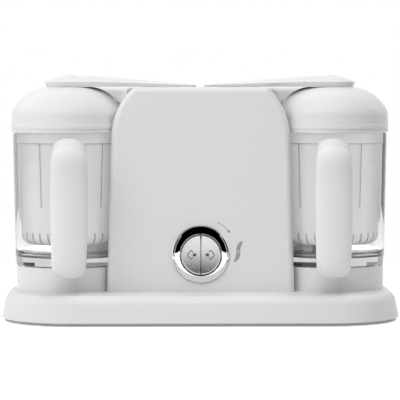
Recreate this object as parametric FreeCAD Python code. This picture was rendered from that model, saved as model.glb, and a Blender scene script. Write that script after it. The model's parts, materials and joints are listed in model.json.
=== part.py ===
"""Twin-bowl baby food maker: a low plinth, a centre tower with two water tanks under hinged steam
arms, and two lidded jugs that twist-lock onto seats. The right jug has a belt-driven blade.
Millimetres; +X right, -Y front, +Z up; origin on the table under the middle of the plinth."""
import FreeCAD, Part
import math
import os

# Clearances
running_fit = 0.05      # shaft in its bearing, on the radius
part_gap = 0.3          # between pieces that move past each other
slip_gap = 0.15         # between fixed pieces that drop into one another
press_gap = 0.03        # bore round a pressed shaft or pin, on the radius
overlap = 1.0           # how far pieces run into each other before they are joined or cut
near = 0.01             # how close to a plane an edge counts as lying in it
smooth_angle = 12.0     # degrees between two faces under which their seam counts as smooth

# Plinth
base_width = 400.0
base_depth = 200.0
base_corner = 75.0
base_top = 30.0         # height of the top face above the table
base_rim = 4.0          # lower edge of the shell above the table
base_lean = 5.5         # how far the walls lean in from rim to top
base_round = 11.0
base_wall = 3.0
plate_stand = 1.0       # underside of the base plate above the table
plate_thickness = 4.0
foot_radius = 10.0
foot_pocket = 1.0
foot_bevel = 0.5
foot_x = 142.0
foot_y = 58.0
screw_x = 168.0
screw_y = 40.0
screw_mid_y = 84.0
screw_radius = 1.75
screw_head_radius = 3.5
screw_head_height = 2.0
screw_length = 14.0
boss_radius = 5.0

# Cord gland in the back wall of the plinth
gland_x = -60.0
gland_z = 16.0
gland_flange_radius = 9.0
gland_flange = 3.0
gland_round = 1.5
gland_neck_radius = 6.0
gland_neck = 8.0
gland_dimple_radius = 3.2
gland_dimple = 1.5
gland_setback = 4.0     # seat of the flange in from the back of the plinth

# Bowl seats and the bayonet that holds a bowl in its seat
bowl_x = 133.0          # bowl axis from the middle
seat_outer = 53.3
seat_inner = 48.8
seat_height = 24.0
lug_count = 3
lug_angle = 16.0
lug_reach = 2.0         # how far a lug stands out of the spigot
lug_rise = 4.0          # lug underside above the spigot's lower edge
lug_height = 6.0
lug_play = 1.0          # degrees of play at each end of a lug's travel
bowl_twist = 25.0       # degrees from locked to free

# Bowl
spigot_depth = 17.0
spigot_wall = 3.1
bowl_foot_radius = 53.8
bowl_rim_radius = 56.4
bowl_shoulder_z = 187.0     # where the lid's skirt begins
bowl_neck_radius = 55.3
bowl_top_z = 196.0
bowl_floor_lift = 0.7       # underside of the floor above the foot
bowl_floor = 8.0
bowl_floor_round = 8.0
bowl_inner_foot = 50.6
bowl_inner_ledge = 51.8
bowl_inner_rim = 53.2
ledge_z = 178.0             # ledge that the basket hangs on

# Steam basket
basket_bottom_z = 76.0
basket_wall = 2.0
basket_foot_radius = 48.0
basket_round = 9.0
basket_flange = 2.0
basket_collar = 13.0        # height of the collar that stands on the flange, inside the bowl's neck
basket_slot_count = 32
basket_slot_width = 2.0
basket_slot_start = 26.0
basket_slot_rise = 12.0
basket_turn = 5.4          # degrees that its ribs are turned inward from straight ahead
basket_rib_angles = (-36.0, 36.0, 144.0, 216.0)
basket_rib_width = 1.6
basket_rib_depth = 2.2       # from the middle of the wall inward
basket_rib_length = 66.0
basket_flute = 0.7           # radius of the fine groove outside each rib

# Lid
lid_radius = 58.1
lid_wall = 2.4
lid_skirt_bottom_z = 188.5
lid_groove_z = 191.4
lid_groove_width = 1.2
lid_groove_depth = 0.8
lid_lip_round = 1.0         # round on the skirt's lower edge
lid_crease_z = 196.6        # fine step where the skirt's lower band ends
lid_crease = 0.4
lid_shoulder_z = 208.6
lid_shoulder = 16.0         # radius that eases the skirt into the dome
lid_dome_radius = 45.7      # a point half way up the dome
lid_dome_z = 224.4
lid_flat_radius = 24.4
lid_top_z = 233.9
lid_port_radius = 9.0
lid_seal_height = 2.3

# Handle, in the plane of its C: distance from the bowl axis and height
handle_turn = 2.2           # degrees that it points inward from straight ahead
handle_width = 36.0
handle_round = 5.2
handle_reach = 98.0
handle_top_z = 185.0
handle_low_z = 46.0
handle_grip = 15.5          # thickness of the grip, front to back
handle_arm = 20.0           # height of the upper arm
handle_foot_z = 58.0        # underside of the lower arm
handle_foot = 18.0          # height of the lower arm
handle_slope = 13.5         # drop of the top from the bowl to the front crease
handle_crease = 8.0         # radius of the crease between top and front
handle_taper = 2.0          # how much nearer the bowl the grip is at its foot
handle_end = 9.0            # radius of the lower end, from the side
handle_low_round = 13.0     # radius of the lower end's corners, from the front
handle_heel = 18.5          # how far behind the grip the lower arm turns down into its end
handle_bend = 11.0          # radius in the corners of the finger gap
handle_crown = 7.0          # bow of the grip's front across its width
handle_top_crown = 9.0      # bow of the upper arm's top across its width
handle_root_sink = 4.0

# Tower
tower_half_width = 118.0
tower_front = -41.0
tower_setback = 5.0         # back wall in from the back of the plinth
tower_corner = 26.0
tower_recess = 66.5         # radius of the hollow that each bowl stands in
pocket_half = 58.5          # squarer hollow behind each lid, from the bowl axis to its inner wall
pocket_back = 60.0
pocket_corner = 8.0
pocket_low_z = 186.0
tower_step = -8.0           # the panel's outline rules in front of this
tower_top = 233.0
tower_wall = 3.0
tower_edge = 4.0

# Front panel
panel_front = -50.0
panel_low_half = 93.6
panel_high_half = 89.0
panel_spring_z = 180.0      # where the shoulder arc starts
panel_top_half = 66.5
panel_shoulder = 70.0
panel_edge = 6.0
panel_lip = 1.2             # how far it stands above the tower, to screen the gap under the arms
panel_reveal = 1.5          # the tower behind is this much smaller all round
dish_radius = 34.0          # shallow hollow round the knob
dish_depth = 2.4
dish_edge = 40.0            # radius that eases the hollow into the panel

# Controls, on an axis along Y
knob_z = 67.5
knob_outer = 28.4
knob_inner = 20.6
knob_front = -54.5
knob_drop = 4.0             # how far back its crowned face falls from the inner edge to the outer
knob_crown = 11.5           # radius of the crowned face
knob_inner_bevel = 0.6
knob_sleeve = 22.5
knob_flange_radius = 31.0
knob_flange = 2.8
knob_turn = 40.0
knob_hole_gap = 0.4
guide_wall = 2.05
guide_flange_radius = 34.0
guide_flange = 2.5
guide_front = -48.4
button_radius = 20.0
button_front = -54.0
button_thickness = 9.0
button_split = 0.8
button_stem_radius = 3.0
button_stem_x = 9.5
button_travel = 2.0
button_edge = 0.8
button_dish = 1.0           # depth of the hollow that a finger rests in
button_land = 1.5           # flat rim round that hollow
peg_radius = 1.5
peg_orbit = 26.5
peg_length = 6.0
peg_angle = 20.0            # rest angle of the peg, up from the +X side
board_front = -31.0
board_thickness = 1.6
board_half_width = 52.0
board_low_z = 42.0
board_high_z = 104.0
board_post_radius = 3.5
board_post_inset = 6.0
push_switch_size = 8.0
push_switch_height = 3.0
blend_switch_size = 7.0

# Top deck with the tank mouths and the hinge trough
deck_half_length = 60.0
deck_half_width = 33.0
deck_corner = 8.0
deck_flange = 1.8
deck_flange_thickness = 2.5
trough_half_length = 15.0
trough_half_width = 29.5
trough_depth = 9.0
trough_wall = 2.0
tank_x = 39.7
mouth_radius = 16.0
tank_radius = 22.0
tank_wall = 2.0
tank_round = 5.5
tank_height = 106.0
tank_flange_radius = 23.5
tank_flange = 2.0
heater_height = 12.0
heater_groove_count = 3
heater_groove_start = 5.3
heater_groove_pitch = 6.6
heater_groove = 2.0
heater_groove_depth = 6.0

# Steam arms
hinge_x = 10.0
hinge_z = 231.0
hinge_pin_radius = 2.0
hinge_barrel_radius = 4.2
hinge_pin_bite = 1.5        # how far a pin end sits in the trough's wall
arm_inner_x = 4.4
arm_inner_half = 28.5
arm_tip_radius = 24.5
arm_under_z = 234.3
arm_root_side = 1.6         # height of the side wall at the hinge
arm_root_crown = 2.0
arm_tip_side = 4.8
arm_tip_crown = 10.7
arm_undercut = 2.2          # how far the sides lean in to the underside
arm_crest_x = 105.0         # from here out the crown is level
arm_bump_x = 132.0
arm_bump_radius = 7.0
arm_bump = 1.5
liner_thickness = 1.2
liner_rim = 4.5
liner_start_x = 17.0
channel_half_width = 6.0
channel_height = 1.3
gasket_thickness = 1.0
tank_gasket_inner = 16.8
tank_gasket_outer = 20.0
steam_inlet_radius = 8.0
lid_gasket_inner = 9.6
lid_gasket_outer = 14.5

# Drive: motor in the tower, toothed belt in the plinth, coupling under the right bowl
motor_x = 45.0
motor_setback = 49.0    # shaft in from the tower's back wall
motor_radius = 24.0
motor_height = 58.0
motor_flange_radius = 29.0
motor_flange = 3.0
motor_boss_radius = 9.0
motor_boss = 5.0
shaft_radius = 4.0
shaft_foot_z = 8.0
pulley_z = 11.0
pulley_height = 10.0
pulley_flange = 1.0
pulley_flange_reach = 2.5
motor_pulley_radius = 9.0
drive_pulley_radius = 27.0
belt_thickness = 2.0
bearing_radius = 9.0
bearing_flange_radius = 13.0
bearing_flange = 2.0
bearing_depth = 5.0
pivot_radius = 8.0
pivot_height = 5.0
coupling_z = 34.0
coupling_radius = 12.0
coupling_disc = 7.0
dog_inner = 6.5
dog_angle = 30.0
dog_height = 6.8
dog_gap = 0.6

# Blade
blade_shaft_radius = 6.0
hub_flange_radius = 20.0
hub_flange = 3.0
hub_stud_radius = 4.0
blade_radius = 38.0
blade_root = 13.0
blade_tip = 6.0
blade_thickness = 1.6
blade_bevel = 1.0
blade_sweep = 60.0
blade_stud = 4.0
blade_cap_radius = 19.0
blade_cap_height = 6.0
blade_cap_round = 2.5

# Heights and radii that follow from the sizes above
seat_top = base_top + seat_height
plate_top = plate_stand + plate_thickness
foot_z = seat_top + part_gap
floor_under = foot_z + bowl_floor_lift
floor_top = floor_under + bowl_floor
spigot_radius = seat_inner - part_gap
spigot_low = seat_top - spigot_depth
lug_low = spigot_low + lug_rise
lid_skirt_inner = bowl_neck_radius + part_gap + slip_gap
lid_seat_z = bowl_top_z + part_gap + lid_seal_height
cavity_top = base_top - base_wall
tower_back = base_depth / 2 - tower_setback
motor_y = tower_back - motor_setback
panel_back = tower_front
belt_gap = part_gap
deck_under = tower_top - tower_wall - deck_flange_thickness
tank_top = deck_under
heater_top = tank_top - tank_height
dog_low = coupling_z + coupling_disc
hub_disc_low = dog_low + dog_height + dog_gap
hub_disc_top = floor_under - part_gap
hub_flange_low = floor_top + part_gap
blade_low = hub_flange_low + hub_flange
blade_top = blade_low + blade_thickness
up = FreeCAD.Vector(0, 0, 1)
back = FreeCAD.Vector(0, 1, 0)
ahead = -90.0           # angle of the front, in degrees round the upright axis
whole_turn = 360.0
arc_share = math.sqrt(0.5)      # how far along both axes the middle of a quarter arc lies


def point(x, y, z):
    return FreeCAD.Vector(x, y, z)


def flat(height):
    """Placer for an outline drawn in a level plane."""
    return lambda u, v: point(u, v, height)


def upright(depth):
    """Placer for an outline drawn in a plane that faces the front."""
    return lambda u, v: point(u, depth, v)


def face_of(place, start, *steps):
    """Face inside a closed outline. A step is an end point, or (middle, end) of an arc."""
    edges = []
    here = start
    for step in steps + (start,):
        if isinstance(step[0], tuple):
            middle, end = step
            edges.append(Part.Arc(place(*here), place(*middle), place(*end)).toShape())
            here = end
        elif step != here:
            edges.append(Part.LineSegment(place(*here), place(*step)).toShape())
            here = step
    return Part.Face(Part.Wire(edges))


def soft_face(place, *corners):
    """Face inside straight runs between corners (u, v, radius), each rounded by a tangent arc."""
    ends = []
    for i, (u, v, radius) in enumerate(corners):
        before = corners[i - 1]
        after = corners[(i + 1) % len(corners)]
        come = FreeCAD.Vector(u - before[0], v - before[1], 0).normalize()
        leave = FreeCAD.Vector(after[0] - u, after[1] - v, 0).normalize()
        half_turn = come.getAngle(leave) / 2
        corner = FreeCAD.Vector(u, v, 0)
        if radius == 0:
            ends.append((corner, corner, corner))
            continue
        run = radius * math.tan(half_turn)
        centre = corner + (leave - come).normalize() * (radius / math.cos(half_turn))
        middle = centre + (corner - centre).normalize() * radius
        ends.append((corner - come * run, middle, corner + leave * run))
    steps = []
    for first, middle, last in ends:
        steps.append((first.x, first.y))
        if first != last:
            steps.append(((middle.x, middle.y), (last.x, last.y)))
    return face_of(place, *steps)


def bulge(start, end, radius):
    """Arc step from start to end that bows to the right of its direction."""
    du = end[0] - start[0]
    dv = end[1] - start[1]
    chord = math.hypot(du, dv)
    rise = radius - math.sqrt(radius ** 2 - chord ** 2 / 4)
    middle_u = (start[0] + end[0]) / 2 + rise * dv / chord
    middle_v = (start[1] + end[1]) / 2 - rise * du / chord
    middle = (middle_u, middle_v)
    return (middle, end)


def turned(face, x=0.0, y=0.0):
    """Solid of revolution about the upright axis, from a face drawn at y = 0, moved to x, y."""
    solid = face.revolve(point(0, 0, 0), up, whole_turn)
    solid.translate(point(x, y, 0))
    return solid


def turned_about_knob(face):
    """Solid of revolution about the knob's axis, from a face drawn in the level plane z = 0."""
    solid = face.revolve(point(0, 0, 0), back, whole_turn)
    solid.translate(point(0, 0, knob_z))
    return solid


def post(radius, low, high, x=0.0, y=0.0):
    return Part.makeCylinder(radius, high - low, point(x, y, low), up)


def peg(radius, front, rear, x, z):
    return Part.makeCylinder(radius, rear - front, point(x, front, z), back)


def block(x0, x1, y0, y1, z0, z1):
    return Part.makeBox(x1 - x0, y1 - y0, z1 - z0, point(x0, y0, z0))


def tube(outer, inner, low, high, x=0.0, y=0.0):
    return post(outer, low, high, x, y).cut(post(inner, low, high, x, y))


def ring_sector(inner, outer, low, high, start, sweep):
    """Part of a ring about the upright axis, from an angle and over a sweep, in degrees."""
    face = face_of(upright(0), (inner, low), (outer, low), (outer, high), (inner, high))
    solid = face.revolve(point(0, 0, 0), up, sweep)
    solid.rotate(point(0, 0, 0), up, start)
    return solid


def rounded_wire(half_x, half_y, corner, height):
    """Outline of a rounded rectangle about the middle."""
    place = flat(height)
    lean = corner * arc_share
    edges = []
    for sx, sy in ((1, 1), (-1, 1), (-1, -1), (1, -1)):
        cx = sx * (half_x - corner)
        cy = sy * (half_y - corner)
        first = place(cx + sx * corner, cy)
        second = place(cx, cy + sy * corner)
        if sx * sy < 0:
            first, second = second, first
        edges.append(Part.Arc(first, place(cx + sx * lean, cy + sy * lean), second).toShape())
    outline = []
    for edge, following in zip(edges, edges[1:] + edges[:1]):
        outline.append(edge)
        outline.append(Part.LineSegment(edge.lastVertex().Point, following.firstVertex().Point).toShape())
    return Part.Wire(outline)


def rounded_block(half_x, half_y, corner, low, high):
    return Part.Face(rounded_wire(half_x, half_y, corner, low)).extrude(point(0, 0, high - low))


def mirrored(shape):
    """The same piece for the left side."""
    return shape.mirror(point(0, 0, 0), point(1, 0, 0))


def fused(shapes):
    return shapes[0].fuse(shapes[1:]).removeSplitter()


def edges_where(shape, test):
    return [edge for edge in shape.Edges if test(edge.BoundBox)]


def sharp_edges(shape, test):
    """Edges that pass a test and where two faces meet at an angle, not along a smooth seam."""
    found = []
    for edge in edges_where(shape, test):
        middle = edge.valueAt((edge.FirstParameter + edge.LastParameter) / 2)
        faces = shape.ancestorsOfType(edge, Part.Face)
        normals = [face.normalAt(*face.Surface.parameter(middle)) for face in faces]
        if len(normals) == 2 and normals[0].getAngle(normals[1]) > math.radians(smooth_angle):
            found.append(edge)
    return found


def bow_radius(half_width, rise):
    """Radius of an arc that rises so much over half its chord."""
    return (half_width ** 2 + rise ** 2) / (2 * rise)


def base_form(inset, low, high):
    """Leaning walls of the plinth, drawn in from the outside by an inset."""
    def outline(height):
        inward = inset + base_lean * (height - base_rim) / (base_top - base_rim)
        return rounded_wire(base_width / 2 - inward, base_depth / 2 - inward, base_corner - inward, height)
    return Part.makeLoft([outline(low), outline(high)], True, True)


def screw_places():
    corners = [(sx * screw_x, sy * screw_y) for sx in (-1, 1) for sy in (-1, 1)]
    return corners + [(0.0, -screw_mid_y), (0.0, screw_mid_y)]


def base_shell():
    form = base_form(0.0, base_rim, base_top)
    rims = edges_where(form, lambda box: box.ZMin > base_top - near)
    form = form.makeFillet(base_round, rims)
    shell = form.cut(base_form(base_wall, base_rim, cavity_top))
    bosses = [post(boss_radius, plate_top, cavity_top + overlap, x, y) for x, y in screw_places()]
    shell = fused([shell] + bosses)
    for x, y in screw_places():
        shell = shell.cut(post(screw_radius, plate_top, plate_top + screw_length, x, y))
    shell = shell.cut(post(bearing_radius + slip_gap, cavity_top, base_top, bowl_x))
    shell = shell.cut(post(motor_boss_radius + slip_gap, cavity_top, base_top, motor_x, motor_y))
    seat = base_depth / 2 - gland_setback
    shell = shell.cut(peg(gland_flange_radius + slip_gap, seat, base_depth / 2, gland_x, gland_z))
    return shell.cut(peg(gland_neck_radius + slip_gap, seat - gland_neck, seat, gland_x, gland_z))


def base_plate():
    plate = base_form(base_wall + slip_gap, base_rim, plate_top)
    inward = base_wall + slip_gap
    plate = fused([plate, rounded_block(base_width / 2 - inward, base_depth / 2 - inward,
                                        base_corner - inward, plate_stand, base_rim)])
    head_top = plate_stand + screw_head_height
    for x, y in screw_places():
        plate = plate.cut(post(screw_radius + slip_gap, plate_stand, plate_top, x, y))
        plate = plate.cut(post(screw_head_radius + slip_gap, plate_stand, head_top, x, y))
    for x, y in foot_places():
        plate = plate.cut(post(foot_radius + slip_gap, plate_stand, plate_stand + foot_pocket, x, y))
    pivot_top = plate_top + pivot_height
    plate = fused([plate, post(pivot_radius, plate_top - overlap, pivot_top, bowl_x)])
    return plate.cut(post(shaft_radius + running_fit, shaft_foot_z - part_gap, pivot_top, bowl_x))


def foot_places():
    return [(sx * foot_x, sy * foot_y) for sx in (-1, 1) for sy in (-1, 1)]


def rubber_feet():
    feet = []
    for x, y in foot_places():
        foot = post(foot_radius, 0, plate_stand + foot_pocket, x, y)
        rim = edges_where(foot, lambda box: box.ZMax < near)
        feet.append(foot.makeChamfer(foot_bevel, rim))
    return Part.makeCompound(feet)


def base_screws():
    screws = []
    for x, y in screw_places():
        head_top = plate_stand + screw_head_height
        head = post(screw_head_radius, plate_stand, head_top, x, y)
        shank = post(screw_radius, head_top - overlap, plate_top + screw_length - overlap, x, y)
        screws.append(fused([head, shank]))
    return Part.makeCompound(screws)


def cord_gland():
    seat = base_depth / 2 - gland_setback
    flange = peg(gland_flange_radius, seat, seat + gland_flange, gland_x, gland_z)
    rim = edges_where(flange, lambda box: box.YMin > seat + gland_flange - near)
    flange = flange.makeFillet(gland_round, rim)
    neck = peg(gland_neck_radius, seat - gland_neck, seat + overlap, gland_x, gland_z)
    gland = fused([flange, neck])
    mouth = seat + gland_flange
    return gland.cut(peg(gland_dimple_radius, mouth - gland_dimple, mouth, gland_x, gland_z))


def lug_starts():
    return [i * whole_turn / lug_count for i in range(lug_count)]


def bowl_seat():
    seat = tube(seat_outer, seat_inner, base_top, seat_top)
    deep = seat_inner + lug_reach
    for start in lug_starts():
        first = start - lug_play
        width = lug_angle + 2 * lug_play
        travel = ring_sector(seat_inner - overlap, deep, lug_low - part_gap, lug_low + lug_height + part_gap,
                             first, width + bowl_twist)
        entry = ring_sector(seat_inner - overlap, deep, lug_low, seat_top + overlap,
                            first + bowl_twist, width)
        seat = seat.cut(travel).cut(entry)
    seat.translate(point(bowl_x, 0, 0))
    return seat


def bowl(floor_bore):
    corner = bowl_floor_round * arc_share
    bend_r = bowl_inner_foot - bowl_floor_round
    bend_z = floor_top + bowl_floor_round
    inner_spigot = spigot_radius - spigot_wall
    face = face_of(upright(0), (floor_bore, floor_under), (inner_spigot, floor_under),
                   (inner_spigot, spigot_low), (spigot_radius, spigot_low), (spigot_radius, foot_z),
                   (bowl_foot_radius, foot_z), (bowl_rim_radius, bowl_shoulder_z),
                   (bowl_neck_radius, bowl_shoulder_z), (bowl_neck_radius, bowl_top_z),
                   (bowl_inner_rim, bowl_top_z), (bowl_inner_rim, ledge_z), (bowl_inner_ledge, ledge_z),
                   (bowl_inner_foot, bend_z), ((bend_r + corner, bend_z - corner), (bend_r, floor_top)),
                   (floor_bore, floor_top))
    lug_inner = spigot_radius - overlap
    lug_outer = spigot_radius + lug_reach
    lugs = [ring_sector(lug_inner, lug_outer, lug_low, lug_low + lug_height, start, lug_angle)
            for start in lug_starts()]
    solid = fused([turned(face)] + lugs)
    solid.translate(point(bowl_x, 0, 0))
    return solid


def basket():
    flange_z = ledge_z + part_gap
    top_z = flange_z + basket_flange
    top_radius = bowl_inner_ledge - part_gap
    rim_radius = bowl_inner_rim - part_gap
    corner = basket_round * arc_share
    bend_r = basket_foot_radius - basket_round
    bend_z = basket_bottom_z + basket_round
    inner = basket_round - basket_wall
    hollow = inner * arc_share
    face = face_of(upright(0), (0, basket_bottom_z), (bend_r, basket_bottom_z),
                   ((bend_r + corner, bend_z - corner), (basket_foot_radius, bend_z)),
                   (top_radius, flange_z), (rim_radius, flange_z), (rim_radius, top_z + basket_collar),
                   (rim_radius - basket_wall, top_z + basket_collar), (rim_radius - basket_wall, top_z),
                   (top_radius - basket_wall, top_z), (basket_foot_radius - basket_wall, bend_z),
                   ((bend_r + hollow, bend_z - hollow), (bend_r, bend_z - inner)),
                   (0, basket_bottom_z + basket_wall))
    solid = turned(face)
    slot = block(basket_slot_start, bowl_inner_foot, -basket_slot_width / 2, basket_slot_width / 2,
                 basket_bottom_z - overlap, basket_bottom_z + basket_slot_rise)
    for i in range(basket_slot_count):
        cutter = slot.copy()
        cutter.rotate(point(0, 0, 0), up, i * whole_turn / basket_slot_count)
        solid = solid.cut(cutter)
    slope = (top_radius - basket_foot_radius) / (flange_z - bend_z)
    rib_low = top_z - basket_rib_length
    low_r = basket_foot_radius + slope * (rib_low - bend_z) - basket_wall / 2
    top_r = top_radius - basket_wall / 2
    rib_face = face_of(upright(-basket_rib_width / 2), (low_r - basket_rib_depth, rib_low),
                       (low_r, rib_low), (top_r, flange_z), (top_r - basket_rib_depth, flange_z))
    rib = rib_face.extrude(point(0, basket_rib_width, 0))
    lean = point(top_radius - low_r - basket_wall / 2, 0, flange_z - rib_low)
    flute = Part.makeCylinder(basket_flute, lean.Length, point(low_r + basket_wall / 2, 0, rib_low), lean)
    ribs = []
    flutes = []
    for angle in basket_rib_angles:
        for made, shape in ((ribs, rib), (flutes, flute)):
            copy = shape.copy()
            copy.rotate(point(0, 0, 0), up, angle + ahead - basket_turn)
            made.append(copy)
    solid = fused([solid] + ribs)
    for groove in flutes:
        solid = solid.cut(groove)
    solid.translate(point(bowl_x, 0, 0))
    return solid


def lid():
    groove = lid_radius - lid_groove_depth
    ledge = bowl_inner_rim - lid_wall / 2
    inner_shoulder = lid_radius - 2 * lid_wall
    groove_top = lid_groove_z + lid_groove_width
    lip_centre = (lid_radius - lid_lip_round, lid_skirt_bottom_z + lid_lip_round)
    lip = lid_lip_round * arc_share
    band = lid_radius - lid_crease
    ceiling = lid_top_z - lid_wall
    face = face_of(upright(0), (lid_skirt_inner, lid_skirt_bottom_z), (lip_centre[0], lid_skirt_bottom_z),
                   ((lip_centre[0] + lip, lip_centre[1] - lip), (lid_radius, lip_centre[1])),
                   (lid_radius, lid_groove_z), (groove, lid_groove_z), (groove, groove_top),
                   (lid_radius, groove_top), (lid_radius, lid_crease_z), (band, lid_crease_z + lid_crease),
                   (band, lid_shoulder_z), ((lid_dome_radius, lid_dome_z), (lid_flat_radius, lid_top_z)),
                   (lid_port_radius, lid_top_z), (lid_port_radius, ceiling), (lid_flat_radius, ceiling),
                   ((lid_dome_radius - lid_wall, lid_dome_z - lid_wall), (inner_shoulder, lid_shoulder_z)),
                   (ledge, lid_seat_z), (lid_skirt_inner, lid_seat_z))
    solid = turned(face, bowl_x)
    bend = edges_where(solid, lambda box: box.ZLength < near and abs(box.ZMin - lid_shoulder_z) < near
                       and box.XMax > bowl_x + band - near)
    return solid.makeFillet(lid_shoulder, bend)


def lid_seal():
    return tube(bowl_neck_radius, bowl_inner_rim, bowl_top_z + part_gap, lid_seat_z, bowl_x)


def handle_profile():
    """Side view of the handle: a C with a sloping top and a lower end that hangs below its arm."""
    inner_grip = handle_reach - handle_grip
    root = bowl_foot_radius - handle_root_sink
    under_arm = handle_top_z - handle_arm
    over_foot = handle_foot_z + handle_foot
    face = soft_face(upright(-handle_width / 2), (root, handle_foot_z, 0),
                     (inner_grip - handle_heel, handle_foot_z, handle_bend),
                     (inner_grip, handle_low_z, handle_end),
                     (handle_reach - handle_taper, handle_low_z, handle_end),
                     (handle_reach, handle_top_z - handle_slope, handle_crease), (root, handle_top_z, 0),
                     (root, under_arm, 0), (inner_grip, under_arm, handle_bend),
                     (inner_grip, over_foot, handle_bend), (root, over_foot, 0))
    return face.extrude(point(0, handle_width, 0))


def arched_bar(crown, crest, run, out):
    """Long bar as wide as the handle, its outer face bowed across, from a point and a run on its crest."""
    half = handle_width / 2
    far = 2 * handle_reach
    start = crest - run * far
    face = face_of(lambda u, v: start + point(0, u, 0) + out * v, (-half, -far), (half, -far),
                   (half, -crown), ((0, 0), (-half, -crown)))
    return face.extrude(run * 2 * far)


def handle_crowns():
    """Space inside the bowed front of the grip and the bowed top of the upper arm, with the crease eased."""
    crease = point(handle_reach, 0, handle_top_z - handle_slope)
    rise = (crease - point(handle_reach - handle_taper, 0, handle_low_z)).normalize()
    slope = (crease - point(bowl_foot_radius - handle_root_sink, 0, handle_top_z)).normalize()
    front = arched_bar(handle_crown, crease, rise, point(rise.z, 0, -rise.x))
    top = arched_bar(handle_top_crown, crease, slope, point(-slope.z, 0, slope.x))
    crowns = front.common(top)
    mitre = edges_where(crowns, lambda box: abs(box.ZMax - crease.z) < near)
    return crowns.makeFillet(handle_crease, mitre)


def handle():
    """C-shaped grip with a sloping bowed top, a bowed front and soft edges, seated on the bowl's wall."""
    root = bowl_foot_radius - handle_root_sink
    half = handle_width / 2
    front_view = soft_face(lambda u, v: point(0, u, v), (-half, handle_low_z, handle_low_round),
                           (half, handle_low_z, handle_low_round), (half, handle_top_z + overlap, 0),
                           (-half, handle_top_z + overlap, 0))
    solid = handle_profile().common(front_view.extrude(point(2 * handle_reach, 0, 0)))
    rims = sharp_edges(solid, lambda box: box.XMax > root + near)
    solid = solid.makeFillet(handle_round, rims).common(handle_crowns())
    wall = face_of(upright(0), (0, foot_z), (bowl_foot_radius + slip_gap, foot_z),
                   (bowl_rim_radius + slip_gap, bowl_shoulder_z), (0, bowl_shoulder_z))
    solid = solid.cut(turned(wall))
    solid.rotate(point(0, 0, 0), up, ahead - handle_turn)
    solid.translate(point(bowl_x, 0, 0))
    return solid


def panel_outline(inset, depth, top_z):
    """Tombstone outline of the tower's front, drawn in by an inset, up to a height."""
    place = upright(depth)
    low = (panel_low_half - inset, base_top)
    spring = (panel_high_half - inset, panel_spring_z)
    top = (panel_top_half - inset, top_z)
    radius = panel_shoulder - inset
    across = (-top[0], top[1])
    return face_of(place, (-low[0], low[1]), low, spring, bulge(spring, top, radius), across,
                   bulge(across, (-spring[0], spring[1]), radius))


def front_panel():
    outline = panel_outline(0.0, panel_back, tower_top + panel_lip)
    solid = outline.extrude(point(0, panel_front - panel_back, 0))
    front_edges = edges_where(solid, lambda box: box.YMax < panel_front + near
                              and box.ZMax > base_top + near)
    solid = solid.makeFillet(panel_edge, front_edges)
    bend = bow_radius(dish_radius, dish_depth)
    dish = Part.makeSphere(bend, point(0, panel_front + dish_depth - bend, knob_z))
    solid = solid.cut(dish)
    rim = edges_where(solid, lambda box: abs(box.XLength - 2 * dish_radius) < near and box.YLength < near)
    solid = solid.makeFillet(dish_edge, rim)
    hole = peg(knob_outer + knob_hole_gap, panel_front - overlap, panel_back, 0, knob_z)
    pocket_depth = knob_flange + 2 * part_gap
    pocket = peg(knob_flange_radius + part_gap, panel_back - pocket_depth, panel_back, 0, knob_z)
    return solid.cut(hole).cut(pocket)


def lid_pocket(side, inset, high):
    """Squarer hollow behind one lid, open to the front, the top and the side."""
    low = pocket_low_z - inset
    half_x = pocket_half + inset
    half_y = pocket_back + inset
    hollow = rounded_block(half_x, half_y, pocket_corner + inset, low, high)
    hollow.translate(point(side * bowl_x, 0, 0))
    return hollow


def tower_form(inset, low, high):
    """Body of the tower, hollowed at the sides for the bowls, drawn in by an inset."""
    half = tower_half_width - inset
    front = tower_front + inset
    rear = tower_back - inset
    corner = tower_corner - inset
    lean = corner * arc_share
    side = half - corner
    bend = rear - corner
    face = face_of(flat(low), (-half, front), (half, front), (half, bend),
                   ((side + lean, bend + lean), (side, rear)), (-side, rear),
                   ((-side - lean, bend + lean), (-half, bend)))
    form = face.extrude(point(0, 0, high - low))
    for side in (-1, 1):
        form = form.cut(post(tower_recess + inset, low, high, side * bowl_x))
        form = form.cut(lid_pocket(side, inset, high))
    tombstone = panel_outline(panel_reveal + inset, front, high).extrude(point(0, rear - front, 0))
    behind = block(-half, half, tower_step, rear, low, high)
    return form.common(fused([tombstone, behind]))


def board_posts():
    return [(sx * (board_half_width - board_post_inset), z) for sx in (-1, 1)
            for z in (board_low_z + board_post_inset, board_high_z - board_post_inset)]


def tower_housing():
    solid = tower_form(0.0, base_top, tower_top)
    rims = edges_where(solid, lambda box: box.ZMin > tower_top - near and box.YMax > tower_step + near)
    solid = solid.makeFillet(tower_edge, rims)
    solid = solid.cut(tower_form(tower_wall, base_top, tower_top - tower_wall))
    wall_back = tower_front + tower_wall
    posts = [peg(board_post_radius, wall_back - overlap, board_front, x, z) for x, z in board_posts()]
    solid = fused([solid] + posts)
    low = tower_top - tower_wall
    opening = rounded_block(deck_half_length, deck_half_width, deck_corner, low, tower_top)
    solid = solid.cut(opening)
    return solid.cut(peg(guide_flange_radius + slip_gap, tower_front, wall_back, 0, knob_z))


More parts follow.
